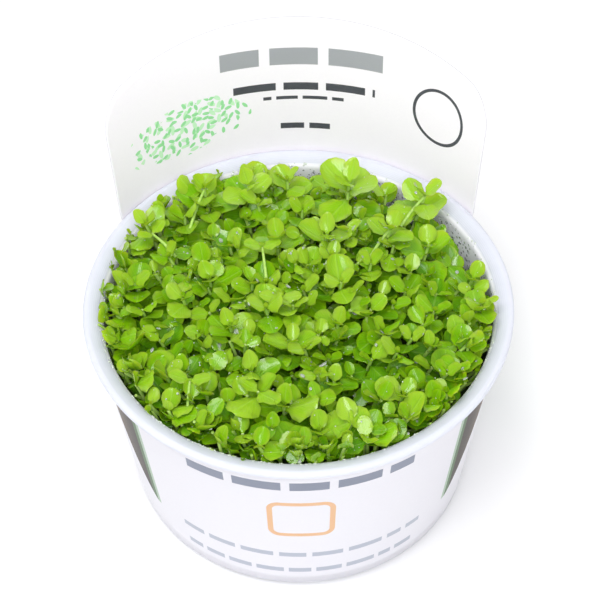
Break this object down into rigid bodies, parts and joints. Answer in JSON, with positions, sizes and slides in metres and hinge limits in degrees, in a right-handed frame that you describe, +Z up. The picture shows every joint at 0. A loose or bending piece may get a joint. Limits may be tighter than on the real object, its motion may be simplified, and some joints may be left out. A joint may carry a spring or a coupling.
{
  "type": "carpet plant in a culture cup",
  "caption": "Low carpet plant with small round leaves growing in a round translucent culture cup, wrapped in a printed label card that rises behind it as a tall tab.",
  "frame": {"origin": "centre of the cup's flat base, on the surface it stands on", "axes": "+Z up through the cup's mouth, -Y towards the front of the cup, +Y towards the tall tab of the label, +X to the right"},
  "size_m": [0.076, 0.0808, 0.072],
  "materials": {
    "cup_plastic": "translucent frosted polypropylene",
    "label_card": "smooth coated card, satin",
    "growth_gel": "clear wet gel",
    "stem_tangle": "loose tangle of stems and shaded leaves",
    "leaf": "fresh waxy leaf, satin with water drops"
  },
  "bodies": {
    "root": {"cup": "cup_plastic", "growth_gel": "growth_gel", "label": "label_card", "sprig_01": "leaf", "sprig_02": "leaf", "sprig_03": "leaf", "sprig_04": "leaf", "sprig_05": "leaf", "sprig_06": "leaf", "sprig_07": "leaf", "sprig_08": "leaf", "sprig_09": "leaf", "sprig_10": "leaf", "sprig_11": "leaf", "sprig_12": "leaf", "sprig_13": "leaf", "sprig_14": "leaf", "sprig_15": "leaf", "sprig_16": "leaf", "sprig_17": "leaf", "sprig_18": "leaf", "sprig_19": "leaf", "sprig_20": "leaf", "sprig_21": "leaf", "sprig_22": "leaf", "sprig_23": "leaf", "sprig_24": "leaf", "sprig_25": "leaf", "sprig_26": "leaf", "sprig_27": "leaf", "sprig_28": "leaf", "sprig_29": "leaf", "sprig_30": "leaf", "sprig_31": "leaf", "sprig_32": "leaf", "sprig_33": "leaf", "sprig_34": "leaf", "sprig_35": "leaf", "sprig_36": "leaf", "sprig_37": "leaf", "sprig_38": "leaf", "sprig_39": "leaf", "sprig_40": "leaf", "sprig_41": "leaf", "sprig_42": "leaf", "sprig_43": "leaf", "sprig_44": "leaf", "sprig_45": "leaf", "sprig_46": "leaf", "stem_mat": "stem_tangle"}
  },
  "joints": []
}
